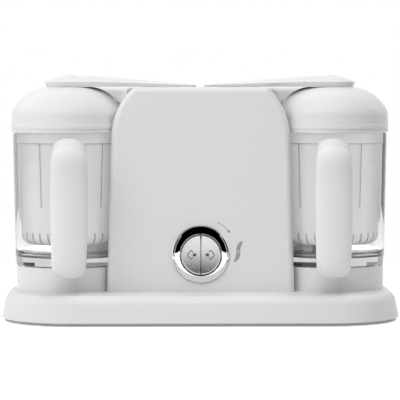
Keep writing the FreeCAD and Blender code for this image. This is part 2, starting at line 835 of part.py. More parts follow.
def top_deck():
    lid_half = deck_half_length - slip_gap
    lid_width = deck_half_width - slip_gap
    plate_low = tower_top - tower_wall
    plate = rounded_block(lid_half, lid_width, deck_corner - slip_gap, plate_low - overlap, tower_top)
    flange = rounded_block(deck_half_length + deck_flange, deck_half_width + deck_flange,
                           deck_corner + deck_flange, deck_under, plate_low)
    tray_low = tower_top - trough_depth - trough_wall
    tray_x = trough_half_length + trough_wall
    tray_y = trough_half_width + trough_wall
    tray = block(-tray_x, tray_x, -tray_y, tray_y, tray_low, tower_top)
    deck = fused([plate, flange, tray])
    deck = deck.cut(block(-trough_half_length, trough_half_length, -trough_half_width, trough_half_width,
                          tower_top - trough_depth, tower_top))
    reach = trough_half_width + hinge_pin_bite + slip_gap
    for side in (-1, 1):
        deck = deck.cut(post(mouth_radius, deck_under, tower_top, side * tank_x))
        deck = deck.cut(peg(hinge_pin_radius + press_gap, -reach, reach, side * hinge_x, hinge_z))
    return deck


def water_tank():
    cup = post(tank_radius, heater_top, tank_top, tank_x)
    flange = post(tank_flange_radius, tank_top - tank_flange, tank_top, tank_x)
    tray_x = trough_half_length + trough_wall + slip_gap
    flange = flange.cut(block(0, tray_x, -tank_flange_radius, tank_flange_radius, heater_top, tank_top))
    tank = fused([cup, flange])
    tank_floor = heater_top + tank_wall
    hollow = post(tank_radius - tank_wall, tank_floor, tank_top, tank_x)
    rim = edges_where(hollow, lambda box: box.ZMax < tank_floor + near)
    return tank.cut(hollow.makeFillet(tank_round, rim))


def heater():
    plate_low = heater_top - heater_height
    plate = post(tank_radius - tank_wall, plate_low, heater_top, tank_x)
    for i in range(heater_groove_count):
        outer = heater_groove_start + i * heater_groove_pitch
        groove = tube(outer, outer - heater_groove, plate_low, plate_low + heater_groove_depth, tank_x)
        plate = plate.cut(groove)
    return plate


def hinge_pin():
    reach = trough_half_width + hinge_pin_bite
    return peg(hinge_pin_radius, -reach, reach, hinge_x, hinge_z)


def arm_half(x):
    """Half the arm's width at a distance from the middle, where its edges are straight."""
    share = (x - arm_inner_x) / (bowl_x - arm_inner_x)
    return arm_inner_half + share * (arm_tip_radius - arm_inner_half)


def arm_outline(inset, start_x, height):
    """Paddle outline of a steam arm: wide over the tank, round over the lid."""
    tip = arm_tip_radius - inset
    run = bowl_x - arm_inner_x
    tilt = math.asin((arm_inner_half - arm_tip_radius) / run)
    touch = (bowl_x + tip * math.sin(tilt), tip * math.cos(tilt))
    slope = math.tan(tilt)
    start_half = touch[1] + (touch[0] - start_x) * slope
    return face_of(flat(height), (start_x, -start_half), (touch[0], -touch[1]),
                   ((bowl_x + tip, 0), touch), (start_x, start_half))


def arm_plan(inset, start_x, low, high):
    return arm_outline(inset, start_x, low).extrude(point(0, 0, high - low))


def arm_sides():
    """Space between the arm's sides, which lean in from the crease to the underside."""
    rise = arm_tip_crown + 2 * arm_bump
    spread = arm_undercut * (rise - arm_tip_side) / arm_tip_side
    low = arm_outline(arm_undercut, arm_inner_x, arm_under_z).OuterWire
    high = arm_outline(-spread, arm_inner_x, arm_under_z + rise).OuterWire
    return Part.makeLoft([low, high], True, True)


def arm_section(x, side, crown):
    """Arched cross-section of the arm at one distance from the middle, a little wider than the arm."""
    reach = arm_half(x) + overlap
    bend = bow_radius(arm_half(x), crown - side)
    edge = crown - bend + math.sqrt(bend ** 2 - reach ** 2)
    place = lambda u, v: point(x, u, v)
    low = arm_under_z - overlap
    edge_z = arm_under_z + edge
    return face_of(place, (-reach, low), (reach, low), (reach, edge_z),
                   ((0, arm_under_z + crown), (-reach, edge_z))).OuterWire


def arm_tip_dome():
    """Round end of the arm, domed like the arch that runs into it."""
    bend = bow_radius(arm_tip_radius, arm_tip_crown - arm_tip_side)
    dome = Part.makeSphere(bend, point(bowl_x, 0, arm_under_z + arm_tip_crown - bend))
    reach = arm_tip_radius + overlap
    return dome.common(post(reach, arm_under_z - overlap, arm_under_z + 2 * arm_tip_crown, bowl_x))


def steam_arm():
    root = arm_section(arm_inner_x, arm_root_side, arm_root_crown)
    crest = arm_section(arm_crest_x, arm_tip_side, arm_tip_crown)
    end = arm_section(bowl_x, arm_tip_side, arm_tip_crown)
    arch = fused([Part.makeLoft([root, crest], True, True), Part.makeLoft([crest, end], True, True),
                  arm_tip_dome()])
    arm = arch.common(arm_sides())
    crown = arm_under_z + arm_tip_crown
    bend = bow_radius(arm_bump_radius, arm_bump)
    bump = Part.makeSphere(bend, point(arm_bump_x, 0, crown + arm_bump - bend))
    bump = bump.common(post(2 * arm_bump_radius, crown - arm_bump, crown + 2 * arm_bump, arm_bump_x))
    half = trough_half_width - part_gap
    barrel = peg(hinge_barrel_radius, -half, half, hinge_x, hinge_z)
    neck_half = hinge_barrel_radius / 2
    neck_end = arm_inner_half - overlap
    neck = block(hinge_x - neck_half, hinge_x + neck_half, -neck_end, neck_end,
                 hinge_z, arm_under_z + arm_root_side / 2)
    arm = fused([arm, bump, barrel, neck])
    ceiling = arm_under_z + liner_thickness
    arm = arm.cut(arm_plan(liner_rim, liner_start_x, arm_under_z, ceiling))
    channel = block(tank_x, bowl_x, -channel_half_width, channel_half_width,
                    ceiling, ceiling + channel_height)
    return arm.cut(channel).cut(peg(hinge_pin_radius + running_fit, -half, half, hinge_x, hinge_z))


def arm_liner():
    """Plate that closes the steam channel under an arm, with an inlet and a gasket seat."""
    ceiling = arm_under_z + liner_thickness
    liner = arm_plan(liner_rim + slip_gap, liner_start_x + slip_gap, arm_under_z, ceiling)
    liner = liner.cut(post(steam_inlet_radius, arm_under_z, ceiling, tank_x))
    return liner.cut(post(lid_gasket_outer + slip_gap, arm_under_z, ceiling, bowl_x))


def tank_gasket():
    return tube(tank_gasket_outer, tank_gasket_inner, arm_under_z - gasket_thickness, arm_under_z, tank_x)


def lid_gasket():
    low = lid_top_z + part_gap
    return tube(lid_gasket_outer, lid_gasket_inner, low, arm_under_z + liner_thickness, bowl_x)


def knob_ring():
    flange_back = panel_back - part_gap
    flange_front = flange_back - knob_flange
    sleeve_front = guide_front - part_gap
    rim = (knob_outer, knob_front + knob_drop)
    lip = (knob_inner + knob_inner_bevel, knob_front)
    crest = bulge(lip, rim, knob_crown)[0]
    face = face_of(flat(0), (knob_sleeve, flange_back), (knob_flange_radius, flange_back),
                   (knob_flange_radius, flange_front), (knob_outer, flange_front), rim,
                   (crest, lip), (knob_inner, knob_front + knob_inner_bevel),
                   (knob_inner, sleeve_front), (knob_sleeve, sleeve_front))
    ring = turned_about_knob(face)
    angle = math.radians(peg_angle)
    trip = peg(peg_radius, flange_back - overlap, flange_back + peg_length, peg_orbit * math.cos(angle),
               knob_z + peg_orbit * math.sin(angle))
    return fused([ring, trip])


def button_guide():
    """Fixed sleeve behind the panel that the ring turns on and the buttons slide in."""
    outer = knob_sleeve - running_fit
    inner = outer - guide_wall
    rear = panel_back + guide_flange
    face = face_of(flat(0), (0, panel_back), (inner, panel_back), (inner, guide_front),
                   (outer, guide_front), (outer, panel_back), (guide_flange_radius, panel_back),
                   (guide_flange_radius, rear), (0, rear))
    guide = turned_about_knob(face)
    for side in (-1, 1):
        stem_x = side * button_stem_x
        guide = guide.cut(peg(button_stem_radius + running_fit, panel_back, rear, stem_x, knob_z))
    half_slot = peg_radius + part_gap
    margin = math.degrees(half_slot / peg_orbit)
    slot = face_of(flat(0), (peg_orbit - half_slot, panel_back), (peg_orbit + half_slot, panel_back),
                   (peg_orbit + half_slot, rear), (peg_orbit - half_slot, rear))
    slot = slot.revolve(point(0, 0, 0), back, knob_turn + 2 * margin)
    slot.rotate(point(0, 0, 0), back, -peg_angle - margin)
    slot.translate(point(0, 0, knob_z))
    return guide.cut(slot)


def right_button():
    rear = button_front + button_thickness
    disc = peg(button_radius, button_front, rear, 0, knob_z)
    half = disc.common(block(button_split / 2, button_radius, button_front, rear, knob_z - button_radius,
                             knob_z + button_radius))
    rims = edges_where(half, lambda box: box.YMax < button_front + near)
    half = half.makeFillet(button_edge, rims)
    bend = bow_radius(button_radius - button_land, button_dish)
    half = half.cut(Part.makeSphere(bend, point(0, button_front + button_dish - bend, knob_z)))
    stem_end = board_front - push_switch_height - button_travel - part_gap
    stem = peg(button_stem_radius, rear - overlap, stem_end, button_stem_x, knob_z)
    return fused([half, stem])


def control_board():
    return block(-board_half_width, board_half_width, board_front, board_front + board_thickness,
                 board_low_z, board_high_z)


def push_switches():
    half = push_switch_size / 2
    front = board_front - push_switch_height
    right = block(button_stem_x - half, button_stem_x + half, front, board_front,
                  knob_z - half, knob_z + half)
    return Part.makeCompound([right, mirrored(right)])


def blend_switch():
    """Microswitch that the ring's peg reaches at the end of its turn."""
    angle = math.radians(peg_angle - knob_turn)
    x = peg_orbit * math.cos(angle)
    z = knob_z + peg_orbit * math.sin(angle) - peg_radius - part_gap
    half = blend_switch_size / 2
    front = panel_back + guide_flange + part_gap
    return block(x - half, x + half, front, board_front, z - blend_switch_size, z)


def motor_case():
    low = base_top
    top = low + motor_flange + motor_height
    case = [post(motor_flange_radius, low, low + motor_flange, motor_x, motor_y),
            post(motor_radius, low + overlap, top, motor_x, motor_y),
            post(motor_boss_radius, cavity_top, low + overlap, motor_x, motor_y),
            post(motor_boss_radius, top - overlap, top + motor_boss, motor_x, motor_y)]
    bore = post(shaft_radius + running_fit, cavity_top, top + motor_boss, motor_x, motor_y)
    return fused(case).cut(bore)


def motor_shaft():
    top = base_top + motor_flange + motor_height + motor_boss
    return post(shaft_radius, pulley_z, top + overlap, motor_x, motor_y)


def pulley(radius, x, y):
    """Flanged belt pulley pressed on its shaft."""
    reach = radius + pulley_flange_reach
    top = pulley_z + pulley_height
    wheel = [post(radius, pulley_z, top, x, y), post(reach, pulley_z, pulley_z + pulley_flange, x, y),
             post(reach, top - pulley_flange, top, x, y)]
    return fused(wheel).cut(post(shaft_radius + press_gap, pulley_z, top, x, y))


def belt_loop(gap, low, high):
    """Taut loop round both pulleys, at a gap from their rims."""
    dx = bowl_x - motor_x
    dy = -motor_y
    span = math.hypot(dx, dy)
    small = motor_pulley_radius + gap
    large = drive_pulley_radius + gap
    tilt = math.asin((large - small) / span)
    cosine = math.cos(tilt)
    sine = math.sin(tilt)
    small_touch = (-small * sine, small * cosine)
    large_touch = (span - large * sine, large * cosine)
    start = (small_touch[0], -small_touch[1])
    face = face_of(flat(low), start, (large_touch[0], -large_touch[1]), ((span + large, 0), large_touch),
                   small_touch, ((-small, 0), start))
    loop = face.extrude(point(0, 0, high - low))
    loop.rotate(point(0, 0, 0), up, math.degrees(math.atan2(dy, dx)))
    loop.translate(point(motor_x, motor_y, 0))
    return loop


def drive_belt():
    low = pulley_z + pulley_flange + part_gap
    high = pulley_z + pulley_height - pulley_flange - part_gap
    return belt_loop(belt_gap + belt_thickness, low, high).cut(belt_loop(belt_gap, low, high))


def drive_bearing():
    bush = [post(bearing_radius, base_top - bearing_depth, base_top + overlap, bowl_x),
            post(bearing_flange_radius, base_top, base_top + bearing_flange, bowl_x)]
    low = base_top - bearing_depth
    return fused(bush).cut(post(shaft_radius + running_fit, low, base_top + bearing_flange, bowl_x))


def drive_shaft():
    return post(shaft_radius, shaft_foot_z, dog_low, bowl_x)


def dogs(low, high, start):
    """Pair of facing lugs that pass the turn from the drive to the blade."""
    return [ring_sector(dog_inner, coupling_radius, low, high, start + turn - dog_angle / 2, dog_angle)
            for turn in (0, whole_turn / 2)]


def drive_coupling():
    disc = post(coupling_radius, coupling_z, dog_low)
    coupling = fused([disc] + dogs(dog_low - overlap, dog_low + dog_height, 0))
    coupling = coupling.cut(post(shaft_radius + press_gap, coupling_z, dog_low))
    coupling.translate(point(bowl_x, 0, 0))
    return coupling


def blade_hub():
    hub = [post(coupling_radius, hub_disc_low, hub_disc_top),
           post(blade_shaft_radius, hub_disc_low, hub_flange_low + overlap),
           post(hub_flange_radius, hub_flange_low, blade_low),
           post(hub_stud_radius, hub_flange_low, blade_top + blade_stud)]
    hub = fused(hub + dogs(dog_low + dog_gap, hub_disc_low + overlap, whole_turn / 4))
    hub.translate(point(bowl_x, 0, 0))
    return hub


def blade():
    """Two swept wings with a bevelled leading edge."""
    root_low = (0, -blade_root / 2)
    root_high = (0, blade_root / 2)
    tip_low = (blade_radius, -blade_tip)
    tip_high = (blade_radius, 0)
    wing = face_of(flat(blade_low), root_low, bulge(root_low, tip_low, blade_sweep), tip_high,
                   bulge(tip_high, root_high, blade_sweep))
    solid = wing.extrude(point(0, 0, blade_thickness))
    leading = edges_where(solid, lambda box: box.ZMin > blade_top - near and box.YMax < near)
    solid = solid.makeChamfer(blade_bevel, leading)
    other = solid.copy()
    other.rotate(point(0, 0, 0), up, whole_turn / 2)
    both = fused([solid, other, post(blade_root / 2, blade_low, blade_top)])
    both = both.cut(post(hub_stud_radius + press_gap, blade_low, blade_top))
    both.translate(point(bowl_x, 0, 0))
    return both


def blade_cap():
    cap = post(blade_cap_radius, blade_top, blade_top + blade_cap_height, bowl_x)
    rim = edges_where(cap, lambda box: box.ZMin > blade_top + blade_cap_height - near)
    cap = cap.makeFillet(blade_cap_round, rim)
    bore = post(hub_stud_radius + press_gap, blade_top, blade_top + blade_stud + part_gap, bowl_x)
    return cap.cut(bore)


singles = {
    "base_shell": base_shell(),
    "base_plate": base_plate(),
    "rubber_feet": rubber_feet(),
    "base_screws": base_screws(),
    "cord_gland": cord_gland(),
    "tower_housing": tower_housing(),
    "front_panel": front_panel(),
    "top_deck": top_deck(),
    "knob_ring": knob_ring(),
    "button_guide": button_guide(),
    "control_board": control_board(),
    "push_switches": push_switches(),
    "blend_switch": blend_switch(),
    "motor_case": motor_case(),
    "motor_shaft": motor_shaft(),
    "motor_pulley": pulley(motor_pulley_radius, motor_x, motor_y),
    "drive_belt": drive_belt(),
    "drive_pulley": pulley(drive_pulley_radius, bowl_x, 0),
    "drive_bearing": drive_bearing(),
    "drive_shaft": drive_shaft(),
    "drive_coupling": drive_coupling(),
    "blade_hub": blade_hub(),
    "blade": blade(),
    "blade_cap": blade_cap(),
    "right_bowl": bowl(blade_shaft_radius + running_fit),
    "left_bowl": mirrored(bowl(0.0)),
}
pairs = {
    "bowl_seat": bowl_seat(),
    "basket": basket(),
    "lid": lid(),
    "lid_seal": lid_seal(),
    "handle": handle(),
    "water_tank": water_tank(),
    "heater": heater(),
    "hinge_pin": hinge_pin(),
    "steam_arm": steam_arm(),
    "arm_liner": arm_liner(),
    "tank_gasket": tank_gasket(),
    "lid_gasket": lid_gasket(),
    "button": right_button(),
}

os.makedirs("parts", exist_ok=True)
for name, shape in pairs.items():
    singles["right_" + name] = shape
    singles["left_" + name] = mirrored(shape)
for name, shape in singles.items():
    shape.exportStep("parts/" + name + ".step")
    print(name, shape.isValid(), len(shape.Solids), round(shape.Volume))
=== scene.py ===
"""Looks of a twin-jug baby food maker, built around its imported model.
Metres; +X right, -Y front, +Z up; the object stands on z = 0."""
import json
import math

import bmesh
import bpy
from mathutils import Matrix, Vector

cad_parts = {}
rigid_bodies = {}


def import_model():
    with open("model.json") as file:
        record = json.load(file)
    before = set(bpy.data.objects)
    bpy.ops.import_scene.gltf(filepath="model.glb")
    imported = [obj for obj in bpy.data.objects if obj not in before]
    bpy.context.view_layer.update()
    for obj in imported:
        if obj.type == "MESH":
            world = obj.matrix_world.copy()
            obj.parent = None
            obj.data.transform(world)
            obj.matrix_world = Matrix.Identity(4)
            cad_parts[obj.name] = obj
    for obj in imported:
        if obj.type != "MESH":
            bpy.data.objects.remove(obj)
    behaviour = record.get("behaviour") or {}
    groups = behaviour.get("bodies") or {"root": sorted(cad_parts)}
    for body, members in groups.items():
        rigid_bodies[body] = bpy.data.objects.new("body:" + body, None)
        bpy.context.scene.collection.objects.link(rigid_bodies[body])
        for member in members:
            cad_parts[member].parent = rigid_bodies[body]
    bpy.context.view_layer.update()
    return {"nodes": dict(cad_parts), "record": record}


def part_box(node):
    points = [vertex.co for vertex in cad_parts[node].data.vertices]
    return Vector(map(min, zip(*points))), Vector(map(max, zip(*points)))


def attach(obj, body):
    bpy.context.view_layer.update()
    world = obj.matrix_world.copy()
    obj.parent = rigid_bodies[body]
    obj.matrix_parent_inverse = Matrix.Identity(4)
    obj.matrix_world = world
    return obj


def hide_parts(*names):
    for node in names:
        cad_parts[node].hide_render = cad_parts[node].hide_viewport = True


for leftover in list(bpy.data.objects):
    bpy.data.objects.remove(leftover)
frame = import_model()
nodes = frame["nodes"]

# Camera and light
camera_place = (-0.040, -2.35, 0.249)
camera_pitch = math.radians(86.84)
camera_yaw = math.radians(-0.975)
camera_lens = 208.6
ambient_light = 0.18
floor_glow = 0.70       # what the camera sees of the floor beyond the light that falls on it
lamps = {               # place, size, watts
    "key": ((-1.5, -1.3, 1.5), 1.2, 15.0),
    "side": ((-2.2, -0.2, 0.8), 1.2, 10.0),
    "top": ((0.5, 0.0, 2.2), 0.9, 13.0),
    "front": ((0.0, -1.2, 1.75), 1.2, 13.0),
    "back": ((0.0, 1.6, 0.45), 0.8, 6.0),
}
lamp_aim = (0.0, 0.0, 0.12)
floor_size = 5.0
floor_tone = (0.9, 0.9, 0.9)
floor_roughness = 0.9
floor_back = 0.7            # behind this the backdrop begins, so that it shows through the clear bowls
flag_size = (9.0, 6.0, 4.0)         # open box of black panels that only mirror finishes see
flag_centre = (0.0, -2.0, 2.03)
edge_flag_x = (0.42, 1.3)           # panels at the back that show only through clear walls, on either side
edge_flag_y = 1.2
edge_flag_z = (0.03, 0.6)
edge_flag_shine = {1: 0.0, -1: 0.35}    # black on the right, grey on the left

# Finishes: base colours, linear
white_tone = (0.86, 0.862, 0.865)
clear_tone = (0.93, 0.935, 0.938)
clear_ior = 1.49
clear_drift = 0.03          # size of the flow marks in its gloss
clear_density = 4.0         # light lost per metre, so that edges and thick floors look darker
frosted_tone = (0.38, 0.382, 0.385)
frosted_cover = 0.6         # share of what lies behind that the milky walls hide
frosted_painted_glow = (0.04, 0.60)     # painted light: a glow of their own, edge on and face on, that stands for light they gather
frosted_edge = 0.3          # how far a wall turns from the eye before its painted glow fades, which paints shade on walls seen edge on
frosted_hollow_shade = (0.003, 0.55)  # reach of the test for hollows, and the openness at which the painted glow is gone, which paints shade in ribs, slots and creases
chrome_tone = (0.83, 0.83, 0.84)
silver_tone = (0.62, 0.62, 0.63)
grey_tone = (0.50, 0.50, 0.51)
dark_tone = (0.018, 0.018, 0.020)
rubber_tone = (0.10, 0.10, 0.105)
silicone_tone = (0.74, 0.75, 0.76)
steel_tone = (0.56, 0.56, 0.57)
aluminium_tone = (0.60, 0.60, 0.62)
motor_tone = (0.11, 0.115, 0.125)
board_tone = (0.010, 0.09, 0.032)
brass_tone = (0.62, 0.44, 0.17)
sign_tone = (0.37, 0.37, 0.38)
button_sign_tone = (0.09, 0.09, 0.095)
drift_spread = (0.3, 0.7)       # noise between these values spans a finish's gloss
streak_spread = (0.25, 0.75)
streak_detail = 3.0
streak_shade = 0.86             # tone of the darkest brushed lines, as a share of the metal's

# Signs printed on the buttons and beside the knob
sign_lift = 0.00006         # underside of a sign over the face that carries it
sign_depth = 0.00008
sign_stroke = 0.0006
puff_stroke = 0.00085
puff_x = 0.0097             # middle of a button's sign from the split
puff_half_width = 0.0044
puff_half_height = 0.0054
puff_round = 0.0013
puff_open = 0.0017          # how far towards the split its outline runs
puff_tail = (0.0034, 0.0030)
puff_tail_x = 0.0064
puff_tail_round = 0.0009
puff_round_steps = 5
puff_tail_steps = 4
arrow_radius = 0.0362       # about the knob's axis
arrow_from = math.radians(63)
arrow_sweep = math.radians(21)
arrow_head = 0.0032
arrow_head_width = 0.0036
arrow_steps = 14
blade_sign_x = 0.0372       # from the knob's axis
blade_sign_z = 0.0030
blade_sign_hub = (0.0040, 0.0013)
blade_sign_gap = 0.0005
blade_sign_bend = 0.0118
blade_sign_sweep = math.radians(50)
blade_sign_widths = (1.0, 1.02, 1.0, 0.92, 0.78, 0.58, 0.18)

# Outer wall of a bowl, a cone that the level marks and the handles follow
bowl_foot_radius = 0.0538
bowl_rim_radius = 0.0564
bowl_foot_z = 0.0543
bowl_rim_z = 0.187

# Level marks moulded on the outer side of the right bowl
mark_proud = 0.00045
mark_sink = 0.0003          # how far a mark's root lies in the wall
mark_height = 0.0009
mark_low_z = 0.085
mark_pitch = 0.0133
mark_count = 7
long_mark = math.radians(15)
short_mark = math.radians(8)
mark_round = mark_proud / 3
mark_steps = 10

# Handles: stations along the grip, from the upper root down and back to the lower one
handle_turn = math.radians(2.2)     # how far a handle points inward from straight ahead
handle_gap = 0.0002                 # between a handle's root and the bowl's wall
handle_sides = 20
handle_softening = 2                # rounds of subdivision
handle_crease = math.radians(40)    # edges sharper than this stay sharp, such as the trimmed roots
wall_sides = 128                    # of the cone that trims the roots
# Each station: reach from the bowl's axis, height, downward tilt in degrees, half width, half thickness
handle_stations = (
    (0.050, 0.1768, 14, 0.0162, 0.0100),
    (0.066, 0.1732, 15, 0.0166, 0.0096),
    (0.0790, 0.1690, 17, 0.0172, 0.0094),
    (0.0858, 0.1650, 42, 0.0178, 0.0128),
    (0.0892, 0.1575, 78, 0.0183, 0.0096),
    (0.0899, 0.1400, 89, 0.0187, 0.0084),
    (0.0898, 0.1150, 90, 0.0187, 0.0083),
    (0.0893, 0.0900, 91, 0.0183, 0.0083),
    (0.0887, 0.0690, 93, 0.0177, 0.0085),
    (0.0864, 0.0560, 118, 0.0170, 0.0088),
    (0.0775, 0.0513, 178, 0.0162, 0.0086),
    (0.0660, 0.0600, 208, 0.0158, 0.0082),
    (0.0500, 0.0665, 190, 0.0158, 0.0084),
)


def middle(low, high):
    return (low + high) / 2


knob_z = middle(*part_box("knob_ring")).z
bowl_x = middle(*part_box("right_bowl")).x
button_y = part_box("right_button")[0].y
panel_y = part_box("front_panel")[0].y


def wire(tree, source, target):
    tree.links.new(source, target)


def node_of(tree, kind, **values):
    """Adds a node and sets its properties by name."""
    made = tree.nodes.new(kind)
    for name, value in values.items():
        setattr(made, name, value)
    return made


def new_group(name, inputs, outputs):
    """Empty shader group with float inputs (name, value) and float outputs; returns tree, inlet, outlet."""
    tree = bpy.data.node_groups.new(name, "ShaderNodeTree")
    for label, value in inputs:
        socket = tree.interface.new_socket(label, in_out="INPUT", socket_type="NodeSocketFloat")
        socket.default_value = value
    for label in outputs:
        tree.interface.new_socket(label, in_out="OUTPUT", socket_type="NodeSocketFloat")
    return tree, tree.nodes.new("NodeGroupInput"), tree.nodes.new("NodeGroupOutput")


def moulded_grain_group():
    """Fine spark-eroded grain of moulded plastic, with a slow drift of its gloss."""
    tree, inlet, outlet = new_group(
        "moulded_grain",
        [("Grain Size", 0.0008), ("Drift Size", 0.05), ("Gloss Low", 0.3), ("Gloss High", 0.4)],
        ["Height", "Roughness"])
    place = node_of(tree, "ShaderNodeTexCoord")
    for label, detail, target in (("Grain Size", 2.0, "Height"), ("Drift Size", 3.0, "Roughness")):
        scale = node_of(tree, "ShaderNodeMath", operation="DIVIDE")
        scale.inputs[0].default_value = 1.0
        wire(tree, inlet.outputs[label], scale.inputs[1])
        noise = node_of(tree, "ShaderNodeTexNoise")
        noise.inputs["Detail"].default_value = detail
        wire(tree, place.outputs["Object"], noise.inputs["Vector"])
        wire(tree, scale.outputs[0], noise.inputs["Scale"])
        if target == "Height":
            wire(tree, noise.outputs["Fac"], outlet.inputs["Height"])
            continue
        spread = node_of(tree, "ShaderNodeMapRange")
        spread.inputs["From Min"].default_value = drift_spread[0]
        spread.inputs["From Max"].default_value = drift_spread[1]
        wire(tree, noise.outputs["Fac"], spread.inputs["Value"])
        wire(tree, inlet.outputs["Gloss Low"], spread.inputs["To Min"])
        wire(tree, inlet.outputs["Gloss High"], spread.inputs["To Max"])
        wire(tree, spread.outputs["Result"], outlet.inputs["Roughness"])
    return tree


grain_group = moulded_grain_group()


def new_material(name):
    made = bpy.data.materials.new(name)
    made.use_nodes = True
    return made, made.node_tree, made.node_tree.nodes["Principled BSDF"]


def grained(name, tone, gloss, grain_size=0.0008, grain_depth=0.00003, drift_size=0.05, shade=0.03):
    """Moulded plastic or rubber: a tone with slight drift, grain in relief and gloss between two values."""
    made, tree, surface = new_material(name)
    group = node_of(tree, "ShaderNodeGroup", node_tree=grain_group)
    group.inputs["Grain Size"].default_value = grain_size
    group.inputs["Drift Size"].default_value = drift_size
    group.inputs["Gloss Low"].default_value = gloss[0]
    group.inputs["Gloss High"].default_value = gloss[1]
    wire(tree, group.outputs["Roughness"], surface.inputs["Roughness"])
    bump = node_of(tree, "ShaderNodeBump")
    bump.inputs["Distance"].default_value = grain_depth
    wire(tree, group.outputs["Height"], bump.inputs["Height"])
    wire(tree, bump.outputs["Normal"], surface.inputs["Normal"])
    blend = node_of(tree, "ShaderNodeMix", data_type="RGBA")
    blend.inputs["A"].default_value = (*[c * (1 - shade) for c in tone], 1)
    blend.inputs["B"].default_value = (*tone, 1)
    wire(tree, group.outputs["Height"], blend.inputs["Factor"])
    wire(tree, blend.outputs["Result"], surface.inputs["Base Color"])
    return made


def clear(name, tone, gloss, ior, density):
    """Clear moulded plastic: refracts, has faint flow marks in its gloss and casts no dark shadow."""
    made, tree, surface = new_material(name)
    surface.inputs["Base Color"].default_value = (*tone, 1)
    surface.inputs["Transmission Weight"].default_value = 1.0
    surface.inputs["IOR"].default_value = ior
    group = node_of(tree, "ShaderNodeGroup", node_tree=grain_group)
    group.inputs["Drift Size"].default_value = clear_drift
    group.inputs["Gloss Low"].default_value = gloss[0]
    group.inputs["Gloss High"].default_value = gloss[1]
    wire(tree, group.outputs["Roughness"], surface.inputs["Roughness"])
    path = node_of(tree, "ShaderNodeLightPath")
    through = node_of(tree, "ShaderNodeBsdfTransparent")
    through.inputs["Color"].default_value = (*tone, 1)
    either = node_of(tree, "ShaderNodeMixShader")
    wire(tree, path.outputs["Is Shadow Ray"], either.inputs["Fac"])
    wire(tree, surface.outputs["BSDF"], either.inputs[1])
    wire(tree, through.outputs["BSDF"], either.inputs[2])
    wire(tree, either.outputs["Shader"], tree.nodes["Material Output"].inputs["Surface"])
    depth = node_of(tree, "ShaderNodeVolumeAbsorption")
    depth.inputs["Color"].default_value = (0, 0, 0, 1)
    depth.inputs["Density"].default_value = density
    wire(tree, depth.outputs["Volume"], tree.nodes["Material Output"].inputs["Volume"])
    return made


def frosted(name, tone, gloss, cover, painted_glow):
    """Milky moulded plastic: hides part of what lies behind, and glows as painted light that fades to
    painted shade edge on and in hollows.
    """
    made = grained(name, tone, gloss, grain_size=0.0006, grain_depth=0.00002, drift_size=0.03, shade=0.02)
    tree = made.node_tree
    surface = tree.nodes["Principled BSDF"]
    surface.inputs["Alpha"].default_value = cover
    # Painted light: the milky walls glow white by emission, as if lit from within
    surface.inputs["Emission Color"].default_value = (1, 1, 1, 1)
    # Painted shade edge on: the glow fades as a wall turns away from the eye
    tilt = node_of(tree, "ShaderNodeLayerWeight")
    painted_edge_fade = node_of(tree, "ShaderNodeMapRange")
    painted_edge_fade.inputs["From Min"].default_value = frosted_edge
    painted_edge_fade.inputs["To Min"].default_value = painted_glow[1]
    painted_edge_fade.inputs["To Max"].default_value = painted_glow[0]
    wire(tree, tilt.outputs["Facing"], painted_edge_fade.inputs["Value"])
    # Painted shade in hollows: ribs, slots and creases lose the glow
    hollow_shade = node_of(tree, "ShaderNodeAmbientOcclusion", samples=8, only_local=True)
    hollow_shade.inputs["Distance"].default_value = frosted_hollow_shade[0]
    depth = node_of(tree, "ShaderNodeMapRange")
    depth.inputs["From Min"].default_value = frosted_hollow_shade[1]
    wire(tree, hollow_shade.outputs["AO"], depth.inputs["Value"])
    lit = node_of(tree, "ShaderNodeMath", operation="MULTIPLY")
    wire(tree, painted_edge_fade.outputs["Result"], lit.inputs[0])
    wire(tree, depth.outputs["Result"], lit.inputs[1])
    wire(tree, lit.outputs[0], surface.inputs["Emission Strength"])
    return made


def metal(name, tone, gloss, grain_size=0.004, grain_depth=0.000004):
    made = grained(name, tone, gloss, grain_size, grain_depth)
    made.node_tree.nodes["Principled BSDF"].inputs["Metallic"].default_value = 1.0
    return made


def radial_brushed(name, tone, gloss, lines, depth):
    """Satin metal with fine lines that fan out from the knob's axis."""
    made, tree, surface = new_material(name)
    surface.inputs["Metallic"].default_value = 1.0
    place = node_of(tree, "ShaderNodeTexCoord")
    centre = node_of(tree, "ShaderNodeMapping")
    centre.inputs["Location"].default_value = (0, 0, -knob_z)
    wire(tree, place.outputs["Object"], centre.inputs["Vector"])
    axes = node_of(tree, "ShaderNodeSeparateXYZ")
    wire(tree, centre.outputs["Vector"], axes.inputs["Vector"])
    angle = node_of(tree, "ShaderNodeMath", operation="ARCTAN2")
    wire(tree, axes.outputs["Z"], angle.inputs[0])
    wire(tree, axes.outputs["X"], angle.inputs[1])
    streaks = node_of(tree, "ShaderNodeTexNoise", noise_dimensions="1D")
    streaks.inputs["Scale"].default_value = lines
    streaks.inputs["Detail"].default_value = streak_detail
    wire(tree, angle.outputs[0], streaks.inputs["W"])
    spread = node_of(tree, "ShaderNodeMapRange")
    spread.inputs["From Min"].default_value = streak_spread[0]
    spread.inputs["From Max"].default_value = streak_spread[1]
    spread.inputs["To Min"].default_value = gloss[0]
    spread.inputs["To Max"].default_value = gloss[1]
    wire(tree, streaks.outputs["Fac"], spread.inputs["Value"])
    wire(tree, spread.outputs["Result"], surface.inputs["Roughness"])
    bump = node_of(tree, "ShaderNodeBump")
    bump.inputs["Distance"].default_value = depth
    wire(tree, streaks.outputs["Fac"], bump.inputs["Height"])
    wire(tree, bump.outputs["Normal"], surface.inputs["Normal"])
    blend = node_of(tree, "ShaderNodeMix", data_type="RGBA")
    blend.inputs["A"].default_value = (*[c * streak_shade for c in tone], 1)
    blend.inputs["B"].default_value = (*tone, 1)
    wire(tree, streaks.outputs["Fac"], blend.inputs["Factor"])
    wire(tree, blend.outputs["Result"], surface.inputs["Base Color"])
    return made


